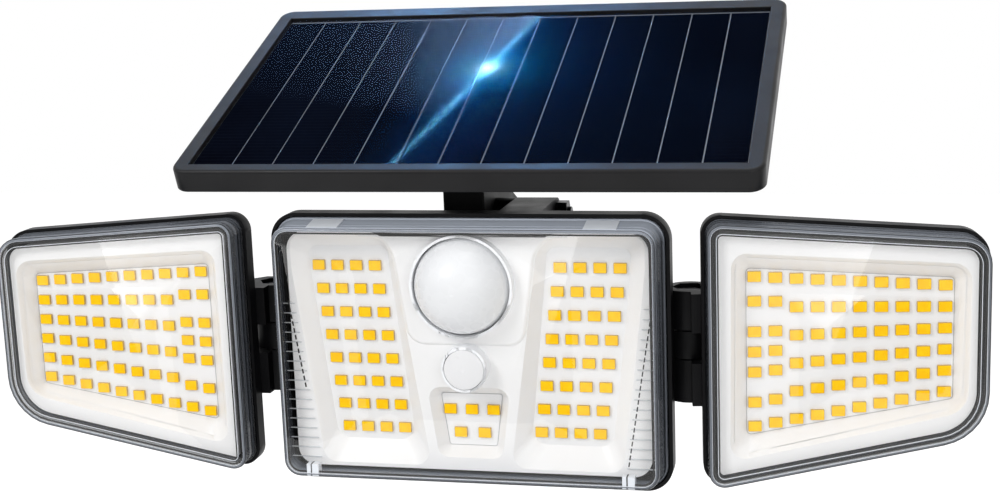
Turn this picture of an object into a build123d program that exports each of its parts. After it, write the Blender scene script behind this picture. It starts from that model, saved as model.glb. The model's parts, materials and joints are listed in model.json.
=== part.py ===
from build123d import *
from math import cos, radians, sin, sqrt
import os

# Motion sensor security light, in millimetres.
# +X right, +Y into the wall, +Z up. The origin is the centre of the wall plate's back face.
# Depths inside the head are counted from the front faces of its LED boards, towards the viewer.

os.makedirs("parts", exist_ok=True)

# ---------------------------------------------------------------- driving dimensions
fit = 0.05  # radial running fit of a bolt in its bore
seat = 0.15  # gap round a piece that drops into a pocket

# wall plate and arm
plate_width = 60.0
plate_height = 80.0
plate_thickness = 4.0
plate_corner = 6.0
wall_hole_radius = 2.5
wall_hole_span_x = 44.0
wall_hole_span_z = 62.0
arm_width = 12.0
arm_right_face = 0.0
arm_level = 50.0  # the arm's middle stands this far above the plate's
arm_height = 14.0
arm_root_top = -14.0  # the root's ends on the plate, from the arm's level
arm_root_bottom = -54.0
post_depth = 30.0
post_shoulder = 10.0  # above the arm's level, as are the two axes
pivot_reach = 63.0  # wall to both tilt axes
head_pivot_rise = 1.0
panel_pivot_rise = 22.0
pivot_bolt_radius = 2.0
pivot_barrel_radius = 5.5
bolt_head_radius = 3.5
bolt_head_height = 3.0
nut_across = 7.0
nut_height = 3.2

# head
head_reach = 100.0  # wall to the front faces of the head's boards
head_drop = 30.4  # middle of the head's outline below the arm's level
cover_width = 105.0
cover_height = 70.3
cover_corner = 4.5
cover_front = 9.0
cover_back = -0.8
cover_flare = 1.7  # how far the side walls spread on the way back
cover_wall = 1.4
cover_face = 1.2
cover_edge_radius = 0.9
rim_front = 1.0
rim_gap = 0.1
rim_wall = 1.0
ledge_front = -2.2
ledge_thickness = 2.0
shell_wall = 2.0
housing_width = 102.0
housing_height = 67.8
housing_back = -14.0
housing_corner = 6.0
bulge_width = 84.0
bulge_bottom = -30.0
bulge_top = 14.0
bulge_corner = 5.0
gasket_width = 1.7

reflector_width = 100.0
reflector_height = 66.6
reflector_front = 3.6
reflector_sheet = 1.2
reflector_corner = 5.0
board_thickness = 1.2
board_margin = 1.0
chip_width = 3.5
chip_height = 2.8
chip_thickness = 0.8

trough_x = 30.7  # middle of each side group of LEDs
led_pitch_x = 5.4
led_pitch_z = 6.565
led_lean = 0.913  # sideways step from one row to the next
led_centre_z = 0.4
side_columns = 4
side_rows = 8
side_floor_corners = (
    (-44.9, 28.4),
    (-22.4, 28.4),
    (-16.5, -26.6),
    (-39.0, -26.6),
    (-44.6, 21.0),
)
side_floor_radii = (2.5, 2.5, 4.0, 4.0, 6.0)
side_rim_corners = ((-49.0, 32.0), (-20.6, 32.0), (-11.3, -32.7), (-42.2, -32.7), (-49.0, 23.0))
side_rim_radii = (3.0, 8.0, 4.0, 4.0, 10.0)
lower_floor_top_z = -12.6
lower_floor_bottom_z = -27.6
lower_floor_top_half = 8.8
lower_floor_bottom_half = 6.8
lower_floor_radius = 0.8
lower_run = 2.5
lower_leds = ((-17.1, 3, 6.1), (-23.7, 2, 6.75))  # height, count, pitch

pir_z = 18.7
pir_radius = 13.4
pir_wall = 0.9
pir_flange_width = 30.0
pir_flange_height = 25.4
pir_flange_thickness = 1.0
seal_gap = 0.1
seal_wall = 0.7
control_board_width = 25.0
control_board_top = 29.0
control_board_bottom = -9.0
control_board_front = -2.8
control_board_thickness = 1.6
board_post_radius = 1.8
upper_post_x = 9.0
upper_post_z = 25.0
lower_post_x = 10.2
pyro_radius = 4.6
pyro_height = 4.2
button_z = -4.0
button_radius = 5.5
button_front = 8.6
button_dome = 0.8
button_travel = 0.8
button_flange_radius = 6.0
button_flange_thickness = 0.7
button_gap = 0.2
switch_side = 6.0
switch_height = 3.4
switch_tip_radius = 1.7
switch_tip_height = 0.8
cell_radius = 9.15
cell_length = 65.0
cell_pitch = 19.0
cell_rows_z = -8.0
cell_depth = -16.0
holder_base = 1.7
holder_end = 3.0
holder_side = 0.6
contact_thickness = 0.4
contact_side = 9.0
head_screw_spots = ((-17.8, 19.3), (17.8, 19.3), (-46.0, -28.0), (46.0, -28.0))
boss_radius = 2.5
screw_radius = 1.3
screw_head_radius = 2.6
screw_head_height = 1.8
screw_slot_length = 3.2
screw_slot_width = 0.8
head_screw_length = 13.0

lug_left = 6.0
lug_width = 12.0
lug_radius = 4.6
lug_root_height = 12.0
spacer_radius = 4.5

# wings, in a frame of their own: u outwards from the hinge, v up, w towards the viewer
hinge_x = 59.0
hinge_depth = -10.0
wing_swing = 9.0  # the right wing stands this far back
wing_outline = ((3.6, 36.9), (75.0, 31.3), (75.0, -20.3), (3.6, -34.2))
wing_corners = (4.0, 7.0, 14.0, 4.0)
wing_front = 22.0
wing_cover_back = 12.8
wing_cover_wall = 1.6
wing_flare = 0.2
wing_shell_back = 9.8
wing_shell_floor = 2.0
wing_shell_rim = 14.2
wing_rim_gap = 0.1
wing_rim_wall = 0.8
wing_flange_front = 19.8
wing_flange_inset = 3.0
wing_recess = ((9.8, 28.9), (70.5, 24.8), (70.0, -14.0), (9.2, -27.0))
wing_recess_corners = (4.0, 5.0, 7.0, 4.0)
wing_floor = ((13.8, 24.0), (67.0, 20.5), (67.0, -11.9), (13.8, -21.1))
wing_floor_corners = (1.2, 1.2, 1.2, 1.2)
wing_board_front = 15.0
wing_columns = 10
wing_short_columns = 2
wing_outer_column = 64.6
wing_column_pitch = 5.4
wing_top_row = 18.5
wing_top_slope = 0.066
wing_bottom_row = -9.8
wing_bottom_slope = 0.179
wing_screw_spots = ((20.0, 30.0), (58.0, 27.2), (18.5, -25.6), (58.0, -18.6))
wing_boss_radius = 2.2
wing_screw_length = 8.0
wing_long_rows = 6
wing_close_steps = (-1.0, -0.675, -0.27, 0.0, 0.27, 0.675, 1.0)

# wing hinges, heights counted from the level of the LED grid's middle
knuckle_radius = 6.5
head_knuckle_bottom = -2.5
head_knuckle_top = 5.0
knuckle_gap = 0.4
barrel_top = 16.0
barrel_bottom = -14.6
hinge_arm_depth = 8.0
hinge_bolt_radius = 2.5
hex_across = 8.0
hex_gap = 0.1
hex_depth = 4.4
hinge_head_height = 3.4
hinge_nut_height = 3.8
arm_back = 5.5
arm_reach = 20.0

# solar panel
panel_tilt = 21.67
panel_set_back = 0.6  # the panel's middle is this much nearer to the wall than its tilt axis
panel_rise = 16.6  # and this much above it
pv_width = 152.1
pv_depth = 93.06
side_border = 4.65  # frame left and right of the cell sheet
front_border = 4.17
back_border = 6.17
frame_corner = 4.5
frame_edge_radius = 1.0
frame_top = 0.6
frame_bottom = -6.0
frame_ledge = 2.5
ledge_back = -4.0
glass_thickness = 0.7
cell_thickness = 0.2
sheet_thickness = 1.1
cell_count = 13
cell_gap = 0.45
cell_border = 1.2
ear_thickness = 3.5
ear_gap = 0.3
ear_radius = 6.0
ear_root = 24.0
base_thickness = 2.5
base_width = 34.0
base_depth = 30.0
base_screw_span_x = 27.0
base_screw_span_y = 22.0
base_screw_length = 4.2

# cable glands
gland_radius = 5.0
gland_hex = 11.0
gland_hex_height = 3.0
gland_length = 8.0
gland_stem_radius = 4.0
gland_stem_length = 3.5
gland_edge = 0.8
cable_radius = 1.7
head_gland_x = -34.0
head_gland_z = 24.0
panel_gland_x = 34.0
panel_gland_y = 22.0

# ---------------------------------------------------------------- worked out from them
arm_left_face = arm_right_face - arm_width
head_pivot_z = arm_level + head_pivot_rise
panel_pivot_z = arm_level + panel_pivot_rise
head_z = arm_level - head_drop
grid_z = head_z + led_centre_z
hinge_y = -head_reach - hinge_depth
pivot_point_y = -pivot_reach
panel_reach = pivot_reach - panel_set_back
panel_z = panel_pivot_z + panel_rise
cover_back_width = cover_width + 2 * cover_flare
cover_back_height = cover_height + 2 * cover_flare
rim_inner_width = cover_back_width + 2 * rim_gap
rim_inner_height = cover_back_height + 2 * rim_gap
rim_corner = cover_corner + cover_flare + rim_gap
reflector_underside = reflector_front - reflector_sheet
cover_inside = cover_front - cover_face
housing_inside = housing_back + shell_wall
button_flange_front = reflector_underside - button_gap
button_underside = button_flange_front - button_flange_thickness
switch_front = control_board_front + switch_height
tip_front = switch_front + switch_tip_height
cell_bed = cell_depth - cell_radius - seat
bulge_inside = cell_bed - holder_base
bulge_back = bulge_inside - shell_wall
wing_board_back = wing_board_front - board_thickness
wing_shell_inside = wing_shell_back + wing_shell_floor
wing_flange_underside = wing_flange_front - reflector_sheet
backsheet_front = -glass_thickness - cell_thickness
backsheet_back = backsheet_front - sheet_thickness
solar_cell_pitch = pv_width / cell_count
lean = radians(panel_tilt)
frame_width = pv_width + 2 * side_border
frame_depth = pv_depth + front_border + back_border
frame_shift = (back_border - front_border) / 2


def head_plane(depth):
    return Plane(origin=(0, -head_reach - depth, head_z), x_dir=(1, 0, 0), z_dir=(0, -1, 0))


def grid_plane(depth):
    return Plane(origin=(0, -head_reach - depth, grid_z), x_dir=(1, 0, 0), z_dir=(0, -1, 0))


def wing_plane(depth):
    origin = (hinge_x, hinge_y - depth, grid_z)
    return Plane(origin=origin, x_dir=(1, 0, 0), z_dir=(0, -1, 0))


def level_plane(height):
    return Plane(origin=(0, 0, height))


def panel_plane(height):
    normal = Vector(0, -sin(lean), cos(lean))
    centre = Vector(0, -panel_reach, panel_z)
    return Plane(origin=centre + normal * height, x_dir=(1, 0, 0), z_dir=normal)


def side_plane(x):
    return Plane(origin=(x, 0, 0), x_dir=(0, 1, 0), z_dir=(1, 0, 0))


def rounded_outline(points, corners):
    with BuildSketch() as outline:
        with BuildLine():
            Polyline(*points, close=True)
        make_face()
        for point, corner in zip(points, corners):
            fillet(outline.vertices().sort_by_distance((*point, 0))[0], corner)
    return outline.sketch


def grown(shape, amount):
    with BuildSketch() as outline:
        add(shape)
        offset(amount=amount)
    return outline.sketch


def lofted(back_plane, back_outline, front_plane, front_outline):
    with BuildPart() as block:
        with BuildSketch(back_plane):
            add(back_outline)
        with BuildSketch(front_plane):
            add(front_outline)
        loft(ruled=True)
    return block.part


def rounded_box(width, height, corner):
    with BuildSketch() as outline:
        RectangleRounded(width, height, corner)
    return outline.sketch


def screw_set(plane, spots, length):
    # the heads stand on the plane's near side and the shanks run along its normal
    with BuildPart() as screws:
        with BuildSketch(plane):
            with Locations(*spots):
                Circle(screw_head_radius)
        extrude(amount=-screw_head_height)
        with BuildSketch(plane):
            with Locations(*spots):
                Circle(screw_radius)
        extrude(amount=length)
        with BuildSketch(plane.offset(-screw_head_height)):
            with Locations(*spots):
                Rectangle(screw_slot_length, screw_slot_width)
                Rectangle(screw_slot_width, screw_slot_length)
        extrude(amount=screw_head_height / 2, mode=Mode.SUBTRACT)
    return screws.part


def cable_gland(plane):
    # the plane lies on the housing's outer face, its normal points out of the housing
    with BuildPart() as gland:
        with BuildSketch(plane):
            RegularPolygon(gland_hex / 2, 6, major_radius=False)
        extrude(amount=gland_hex_height)
        with BuildSketch(plane):
            Circle(gland_radius)
        extrude(amount=gland_length)
        with BuildSketch(plane):
            Circle(gland_stem_radius)
        extrude(amount=-gland_stem_length)
        fillet(gland.faces().filter_by(plane).sort_by(normal_axis(plane))[-1].edges(), gland_edge)
        with BuildSketch(plane.offset(-gland_stem_length)):
            Circle(cable_radius)
        extrude(amount=gland_stem_length + gland_length, mode=Mode.SUBTRACT)
    return gland.part


def normal_axis(plane):
    return Axis(plane.origin, plane.z_dir)


def save(piece, name):
    piece.label = name
    export_step(piece, f"parts/{name}.step")


# ---------------------------------------------------------------- wall bracket
post_front = -pivot_reach - post_depth / 2
post_back = -pivot_reach + post_depth / 2
arm_top = arm_level + arm_height / 2
arm_bottom = arm_level - arm_height / 2
shoulder_z = arm_level + post_shoulder
bracket_side = (
    (-plate_thickness / 2, arm_level + arm_root_bottom),
    (post_back, arm_bottom),
    (post_front, arm_bottom),
    (post_front, shoulder_z),
    (pivot_point_y - pivot_barrel_radius, panel_pivot_z),
    (pivot_point_y + pivot_barrel_radius, panel_pivot_z),
    (post_back, shoulder_z),
    (post_back, arm_top),
    (-plate_thickness / 2, arm_level + arm_root_top),
)

with BuildPart() as wall_bracket:
    with BuildSketch(Plane.XZ):
        RectangleRounded(plate_width, plate_height, plate_corner)
        with GridLocations(wall_hole_span_x, wall_hole_span_z, 2, 2):
            Circle(wall_hole_radius, mode=Mode.SUBTRACT)
    extrude(amount=plate_thickness)
    with BuildSketch(side_plane(arm_left_face)):
        with BuildLine():
            Polyline(*bracket_side, close=True)
        make_face()
        with Locations((pivot_point_y, panel_pivot_z)):
            Circle(pivot_barrel_radius)
        with Locations((pivot_point_y, panel_pivot_z), (pivot_point_y, head_pivot_z)):
            Circle(pivot_bolt_radius + fit, mode=Mode.SUBTRACT)
    extrude(amount=arm_width)
save(wall_bracket.part, "wall_bracket")


def pivot_bolt(name, head_face, far_face, pivot_z):
    # the head bears on head_face, the nut on far_face and the shank ends past the nut
    with BuildPart() as bolt:
        with BuildSketch(side_plane(head_face)):
            with Locations((pivot_point_y, pivot_z)):
                Circle(bolt_head_radius)
        extrude(amount=-bolt_head_height)
        with BuildSketch(side_plane(head_face - bolt_head_height)):
            with Locations((pivot_point_y, pivot_z)):
                RegularPolygon(bolt_head_radius * 0.5, 6)
        extrude(amount=bolt_head_height / 2, mode=Mode.SUBTRACT)
        with BuildSketch(side_plane(head_face)):
            with Locations((pivot_point_y, pivot_z)):
                Circle(pivot_bolt_radius)
        extrude(amount=far_face - head_face + nut_height + 1.0)
    save(bolt.part, name)


def pivot_nut(name, face, pivot_z):
    with BuildPart() as nut:
        with BuildSketch(side_plane(face)):
            with Locations((pivot_point_y, pivot_z)):
                RegularPolygon(nut_across / 2, 6, major_radius=False)
                Circle(pivot_bolt_radius + fit, mode=Mode.SUBTRACT)
        extrude(amount=nut_height)
    save(nut.part, name)


lug_right = lug_left + lug_width
ear_right_face = arm_right_face + ear_gap + ear_thickness
ear_left_face = arm_left_face - ear_gap - ear_thickness
pivot_bolt("head_tilt_bolt", arm_left_face, lug_right, head_pivot_z)
pivot_nut("head_tilt_nut", lug_right, head_pivot_z)
pivot_bolt("panel_tilt_bolt", ear_left_face, ear_right_face, panel_pivot_z)
pivot_nut("panel_tilt_nut", ear_right_face, panel_pivot_z)

with BuildPart() as head_tilt_spacer:
    with BuildSketch(side_plane(arm_right_face)):
        with Locations((pivot_point_y, head_pivot_z)):
            Circle(spacer_radius)
            Circle(pivot_bolt_radius + fit, mode=Mode.SUBTRACT)
    extrude(amount=lug_left - arm_right_face)
save(head_tilt_spacer.part, "head_tilt_spacer")

# ---------------------------------------------------------------- head: back shell
rim_back_y = -head_reach - ledge_front + ledge_thickness
lug_top = head_pivot_z + lug_radius
lug_side = (
    (rim_back_y, lug_top),
    (pivot_point_y, lug_top),
    (pivot_point_y, head_pivot_z - lug_radius),
    (-head_reach - housing_back, lug_top - lug_root_height),
    (rim_back_y, lug_top - lug_root_height),
)
rim_outer = rounded_box(
    rim_inner_width + 2 * rim_wall, rim_inner_height + 2 * rim_wall, rim_corner + rim_wall
)
rim_inner = rounded_box(rim_inner_width, rim_inner_height, rim_corner)
housing_outer = rounded_box(housing_width, housing_height, housing_corner)
housing_inner = grown(housing_outer, -shell_wall)
bulge_height = bulge_top - bulge_bottom
bulge_middle = (bulge_top + bulge_bottom) / 2
bulge_outer = rounded_box(bulge_width, bulge_height, bulge_corner)
bulge_inner = grown(bulge_outer, -shell_wall)
knuckle_height = head_knuckle_top - head_knuckle_bottom
hinge_spots = ((-hinge_x, hinge_y), (hinge_x, hinge_y))
bulge_place = Location((0, bulge_middle))
upper_posts = ((-upper_post_x, upper_post_z), (upper_post_x, upper_post_z))
lower_posts = ((-lower_post_x, button_z), (lower_post_x, button_z))

with BuildPart() as head_back_shell:
    with BuildSketch(head_plane(ledge_front - ledge_thickness)):
        add(rim_outer)
    extrude(amount=rim_front - ledge_front + ledge_thickness)
    with BuildSketch(head_plane(housing_back)):
        add(housing_outer)
    extrude(amount=ledge_front - ledge_thickness - housing_back)
    with BuildSketch(grid_plane(bulge_back)):
        with Locations(bulge_place):
            add(bulge_outer)
    extrude(amount=housing_back - bulge_back)
    with BuildSketch(side_plane(lug_left)):
        with BuildLine():
            Polyline(*lug_side, close=True)
        make_face()
        with Locations((pivot_point_y, head_pivot_z)):
            Circle(lug_radius)
    extrude(amount=lug_width)
    with BuildSketch(level_plane(grid_z + head_knuckle_bottom)):
        with Locations(*hinge_spots):
            Circle(knuckle_radius)
        with Locations((0, hinge_y)):
            Rectangle(2 * hinge_x, hinge_arm_depth)
    extrude(amount=knuckle_height)
    with BuildSketch(head_plane(ledge_front)):
        add(rim_inner)
    extrude(amount=rim_front - ledge_front, mode=Mode.SUBTRACT)
    with BuildSketch(head_plane(housing_inside)):
        add(housing_inner)
    extrude(amount=ledge_front - housing_inside, mode=Mode.SUBTRACT)
    with BuildSketch(grid_plane(bulge_inside)):
        with Locations(bulge_place):
            add(bulge_inner)
    extrude(amount=housing_inside - bulge_inside, mode=Mode.SUBTRACT)
    with BuildSketch(grid_plane(housing_inside)):
        with Locations(*upper_posts):
            Circle(board_post_radius)
    extrude(amount=control_board_front - control_board_thickness - housing_inside)
    with BuildSketch(side_plane(lug_left)):
        with Locations((pivot_point_y, head_pivot_z)):
            Circle(pivot_bolt_radius + fit)
    extrude(amount=lug_width, mode=Mode.SUBTRACT)
    with BuildSketch(level_plane(grid_z + head_knuckle_bottom)):
        with Locations(*hinge_spots):
            Circle(hinge_bolt_radius + 2 * fit)
    extrude(amount=knuckle_height, mode=Mode.SUBTRACT)
    with BuildSketch(grid_plane(housing_back)):
        with Locations(*head_screw_spots):
            Circle(screw_radius + fit)
        with Locations((head_gland_x, head_gland_z)):
            Circle(gland_stem_radius + fit)
    extrude(amount=shell_wall, mode=Mode.SUBTRACT)
save(head_back_shell.part, "head_back_shell")

# ---------------------------------------------------------------- head: gasket and clear cover
gasket_outer = rounded_box(cover_back_width, cover_back_height, cover_corner + cover_flare)

with BuildPart() as head_gasket:
    with BuildSketch(head_plane(ledge_front)):
        add(gasket_outer)
        add(grown(gasket_outer, -gasket_width), mode=Mode.SUBTRACT)
    extrude(amount=cover_back - ledge_front)
save(head_gasket.part, "head_gasket")

pir_waist = sqrt(pir_radius**2 - (cover_inside - reflector_front) ** 2)
cover_front_outline = rounded_box(cover_width, cover_height, cover_corner)
cover_slope = cover_flare / (cover_front - cover_back)
cover_inside_flare = cover_slope * (cover_inside - cover_back)
cover_inner_back = grown(gasket_outer, -cover_wall)
cover_inner_front = grown(cover_inner_back, -cover_inside_flare)
cover_cavity = lofted(
    head_plane(cover_back), cover_inner_back, head_plane(cover_inside), cover_inner_front
)

with BuildPart() as head_clear_cover:
    add(lofted(head_plane(cover_back), gasket_outer, head_plane(cover_front), cover_front_outline))
    fillet(head_clear_cover.faces().sort_by(Axis.Y)[0].edges(), cover_edge_radius)
    add(cover_cavity, mode=Mode.SUBTRACT)
    with BuildSketch(grid_plane(cover_inside)):
        with Locations((0, pir_z)):
            Circle(pir_waist + seat)
        with Locations((0, button_z)):
            Circle(button_radius + seat)
    extrude(amount=cover_face, mode=Mode.SUBTRACT)
save(head_clear_cover.part, "head_clear_cover")

# ---------------------------------------------------------------- head: reflector
def mirrored(outline):
    return mirror(outline, about=Plane.YZ)


side_floor = rounded_outline(side_floor_corners, side_floor_radii)
side_rim = rounded_outline(side_rim_corners, side_rim_radii)
lower_floor_corners = (
    (-lower_floor_top_half, lower_floor_top_z),
    (lower_floor_top_half, lower_floor_top_z),
    (lower_floor_bottom_half, lower_floor_bottom_z),
    (-lower_floor_bottom_half, lower_floor_bottom_z),
)
lower_floor = rounded_outline(lower_floor_corners, (lower_floor_radius,) * 4)
lower_rim = grown(lower_floor, lower_run)
reflector_flange = rounded_box(reflector_width, reflector_height, reflector_corner)
troughs = (
    (side_floor, side_rim),
    (mirrored(side_floor), mirrored(side_rim)),
    (lower_floor, lower_rim),
)
trough_hollows = [
    lofted(grid_plane(0), floor, grid_plane(reflector_front), rim) for floor, rim in troughs
]

with BuildPart() as head_reflector:
    with BuildSketch(head_plane(ledge_front)):
        add(reflector_flange)
    extrude(amount=reflector_front - ledge_front)
    with BuildSketch(head_plane(ledge_front)):
        add(grown(reflector_flange, -reflector_sheet))
    extrude(amount=reflector_underside - ledge_front, mode=Mode.SUBTRACT)
    with BuildSketch(grid_plane(0)):
        for floor, rim in troughs:
            add(rim)
    extrude(amount=reflector_underside)
    with BuildSketch(grid_plane(control_board_front)):
        with Locations(*lower_posts):
            Circle(board_post_radius)
    extrude(amount=reflector_underside - control_board_front)
    with BuildSketch(grid_plane(housing_inside)):
        with Locations(*head_screw_spots):
            Circle(boss_radius)
    extrude(amount=reflector_underside - housing_inside)
    for hollow in trough_hollows:
        add(hollow, mode=Mode.SUBTRACT)
    with BuildSketch(grid_plane(reflector_underside)):
        with Locations((0, pir_z)):
            Circle(pir_radius + fit)
        with Locations((0, button_z)):
            Circle(button_radius + seat)
    extrude(amount=reflector_sheet, mode=Mode.SUBTRACT)
    with BuildSketch(grid_plane(housing_inside)):
        with Locations(*head_screw_spots):
            Circle(screw_radius + fit)
    extrude(amount=-housing_inside, mode=Mode.SUBTRACT)
save(head_reflector.part, "head_reflector")

# ---------------------------------------------------------------- head: boards and LEDs
side_board = grown(side_floor, board_margin)
board_outlines = {
    "left": side_board,
    "right": mirrored(side_board),
    "centre": grown(lower_floor, board_margin),
}
for place, outline in board_outlines.items():
    with BuildPart() as led_board:
        with BuildSketch(grid_plane(-board_thickness)):
            add(outline)
        extrude(amount=board_thickness)
    save(led_board.part, f"head_led_board_{place}")


def row_of(count, pitch):
    return [(index - (count - 1) / 2) * pitch for index in range(count)]


def head_chip_spots():
    spots = []
    for step, row_z in zip(row_of(side_rows, led_lean), row_of(side_rows, led_pitch_z)):
        for column_x in row_of(side_columns, led_pitch_x):
            spots.append((-trough_x - step + column_x, row_z))
            spots.append((trough_x + step + column_x, row_z))
    for row_z, count, pitch in lower_leds:
        spots.extend((column_x, row_z) for column_x in row_of(count, pitch))
    return spots


def chip_set(plane, spots):
    with BuildPart() as chips:
        with BuildSketch(plane):
            with Locations(*spots):
                Rectangle(chip_width, chip_height)
        extrude(amount=chip_thickness)
    return chips.part


save(chip_set(grid_plane(0), head_chip_spots()), "head_led_chips")

# ---------------------------------------------------------------- head: sensor, button, control board
with BuildPart(grid_plane(reflector_front)) as pir_lens:
    with Locations((0, pir_z, 0)):
        Sphere(pir_radius)
    split(bisect_by=grid_plane(reflector_underside), keep=Keep.TOP)
    with BuildSketch(grid_plane(reflector_underside - pir_flange_thickness)):
        with Locations((0, pir_z)):
            RectangleRounded(pir_flange_width, pir_flange_height, board_post_radius)
    extrude(amount=pir_flange_thickness)
    with Locations((0, pir_z, 0)):
        Sphere(pir_radius - pir_wall, mode=Mode.SUBTRACT)
save(pir_lens.part, "pir_lens")


def ring_seal(name, centre_z, radius):
    # a rubber ring squeezed between the reflector's face and the cover
    with BuildPart() as seal:
        with BuildSketch(grid_plane(reflector_front)):
            with Locations((0, centre_z)):
                Circle(radius + seal_wall)
                Circle(radius, mode=Mode.SUBTRACT)
        extrude(amount=cover_inside - reflector_front)
    save(seal.part, name)


ring_seal("pir_seal", pir_z, pir_radius + seal_gap)
ring_seal("button_seal", button_z, button_radius + seat)

button_dome_radius = (button_radius**2 + button_dome**2) / (2 * button_dome)
with BuildPart(grid_plane(button_front - button_dome_radius)) as mode_button:
    with Locations((0, button_z, 0)):
        Sphere(button_dome_radius)
    with BuildSketch(grid_plane(button_underside)):
        with Locations((0, button_z)):
            Circle(button_radius)
    extrude(amount=button_front - button_underside, mode=Mode.INTERSECT)
    with BuildSketch(grid_plane(button_underside)):
        with Locations((0, button_z)):
            Circle(button_flange_radius)
    extrude(amount=button_flange_thickness)
    with BuildSketch(grid_plane(button_underside)):
        with Locations((0, button_z)):
            Circle(switch_tip_radius + seat)
    extrude(amount=tip_front + button_travel + seat - button_underside, mode=Mode.SUBTRACT)
save(mode_button.part, "mode_button")

with BuildPart() as control_board:
    with BuildSketch(grid_plane(control_board_front - control_board_thickness)):
        with Locations((0, (control_board_top + control_board_bottom) / 2)):
            Rectangle(control_board_width, control_board_top - control_board_bottom)
    extrude(amount=control_board_thickness)
save(control_board.part, "control_board")

with BuildPart() as pyro_sensor:
    with BuildSketch(grid_plane(control_board_front)):
        with Locations((0, pir_z)):
            Circle(pyro_radius)
    extrude(amount=pyro_height)
save(pyro_sensor.part, "pyro_sensor")

with BuildPart() as mode_switch:
    with BuildSketch(grid_plane(control_board_front)):
        with Locations((0, button_z)):
            Rectangle(switch_side, switch_side)
    extrude(amount=switch_height)
    with BuildSketch(grid_plane(switch_front)):
        with Locations((0, button_z)):
            Circle(switch_tip_radius)
    extrude(amount=switch_tip_height)
save(mode_switch.part, "mode_switch")

# ---------------------------------------------------------------- head: battery
cell_spots = [(-head_reach - cell_depth, grid_z + cell_rows_z + row) for row in row_of(2, cell_pitch)]
contact_x = cell_length / 2
holder_end_x = contact_x + contact_thickness

with BuildPart() as battery_cells:
    with BuildSketch(side_plane(-contact_x)):
        with Locations(*cell_spots):
            Circle(cell_radius)
    extrude(amount=cell_length)
save(battery_cells.part, "battery_cells")

holder_height = cell_pitch + 2 * cell_radius + 2 * holder_side
with BuildPart() as battery_holder:
    with BuildSketch(grid_plane(bulge_inside)):
        with Locations((0, cell_rows_z)):
            Rectangle(2 * (holder_end_x + holder_end), holder_height)
    extrude(amount=cell_depth - bulge_inside)
    with BuildSketch(grid_plane(cell_bed)):
        with Locations((0, cell_rows_z)):
            Rectangle(2 * holder_end_x, holder_height)
    extrude(amount=cell_depth - cell_bed, mode=Mode.SUBTRACT)
save(battery_holder.part, "battery_holder")

with BuildPart() as battery_contacts:
    for side in (-1, 1):
        with BuildSketch(side_plane(side * (contact_x + contact_thickness / 2))):
            with Locations(*cell_spots):
                Rectangle(contact_side, contact_side)
        extrude(amount=contact_thickness / 2, both=True)
save(battery_contacts.part, "battery_contacts")

# ---------------------------------------------------------------- head: screws and gland
head_screws = screw_set(grid_plane(housing_back), head_screw_spots, head_screw_length)
save(head_screws, "head_screws")

head_gland_place = Plane(
    origin=(head_gland_x, -head_reach - housing_back, grid_z + head_gland_z), z_dir=(0, 1, 0)
)
save(cable_gland(head_gland_place), "head_cable_gland")

# ---------------------------------------------------------------- wings
wing_axis = Axis((hinge_x, hinge_y, 0), (0, 0, 1))
wing_cover_front = rounded_outline(wing_outline, wing_corners)
wing_cover_foot = grown(wing_cover_front, wing_flare)
wing_rim_hole = grown(wing_cover_foot, wing_rim_gap)
wing_shell_outline = grown(wing_rim_hole, wing_rim_wall)
wing_flange = grown(wing_cover_front, -wing_flange_inset)
wing_recess_rim = rounded_outline(wing_recess, wing_recess_corners)
wing_recess_floor = rounded_outline(wing_floor, wing_floor_corners)
wing_slope = wing_flare / (wing_front - wing_cover_back)
wing_cover_inside = wing_front - wing_cover_wall


def save_wings(piece, name):
    # every piece is drawn for the right wing held flat, and the left wing is its mirror image
    save(piece.rotate(wing_axis, wing_swing), f"right_{name}")
    save(piece.mirror(Plane.YZ), f"left_{name}")


knuckle_spans = (
    (head_knuckle_top + knuckle_gap, barrel_top),
    (barrel_bottom, head_knuckle_bottom - knuckle_gap),
)
arm_side = (
    (0, -arm_back),
    (arm_reach - wing_shell_back - arm_back, -arm_back),
    (arm_reach, wing_shell_back),
    (0, wing_shell_back),
)
wing_level = Plane(origin=(hinge_x, hinge_y, grid_z), x_dir=(1, 0, 0), z_dir=(0, 0, 1))

with BuildPart() as wing_back_shell:
    with BuildSketch(wing_plane(wing_shell_back)):
        add(wing_shell_outline)
    extrude(amount=wing_shell_rim - wing_shell_back)
    with BuildSketch(wing_plane(wing_shell_inside)):
        add(wing_rim_hole)
    extrude(amount=wing_shell_rim - wing_shell_inside, mode=Mode.SUBTRACT)
    for bottom, top in knuckle_spans:
        with BuildSketch(wing_level.offset(bottom)):
            Circle(knuckle_radius)
            with BuildLine():
                Polyline(*[(u, -w) for u, w in arm_side], close=True)
            make_face()
        extrude(amount=top - bottom)
    with BuildSketch(wing_level.offset(barrel_bottom)):
        Circle(hinge_bolt_radius + fit)
    extrude(amount=barrel_top - barrel_bottom, mode=Mode.SUBTRACT)
    for level in (barrel_bottom, barrel_top - hex_depth):
        with BuildSketch(wing_level.offset(level)):
            RegularPolygon(hex_across / 2 + hex_gap, 6, major_radius=False)
        extrude(amount=hex_depth, mode=Mode.SUBTRACT)
    with BuildSketch(wing_plane(wing_shell_back)):
        with Locations(*wing_screw_spots):
            Circle(screw_radius + fit)
    extrude(amount=wing_shell_floor, mode=Mode.SUBTRACT)
save_wings(wing_back_shell.part, "wing_back_shell")

with BuildPart() as wing_gasket:
    with BuildSketch(wing_plane(wing_shell_inside)):
        add(wing_cover_foot)
        add(grown(wing_cover_foot, -gasket_width), mode=Mode.SUBTRACT)
    extrude(amount=wing_cover_back - wing_shell_inside)
save_wings(wing_gasket.part, "wing_gasket")

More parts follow.
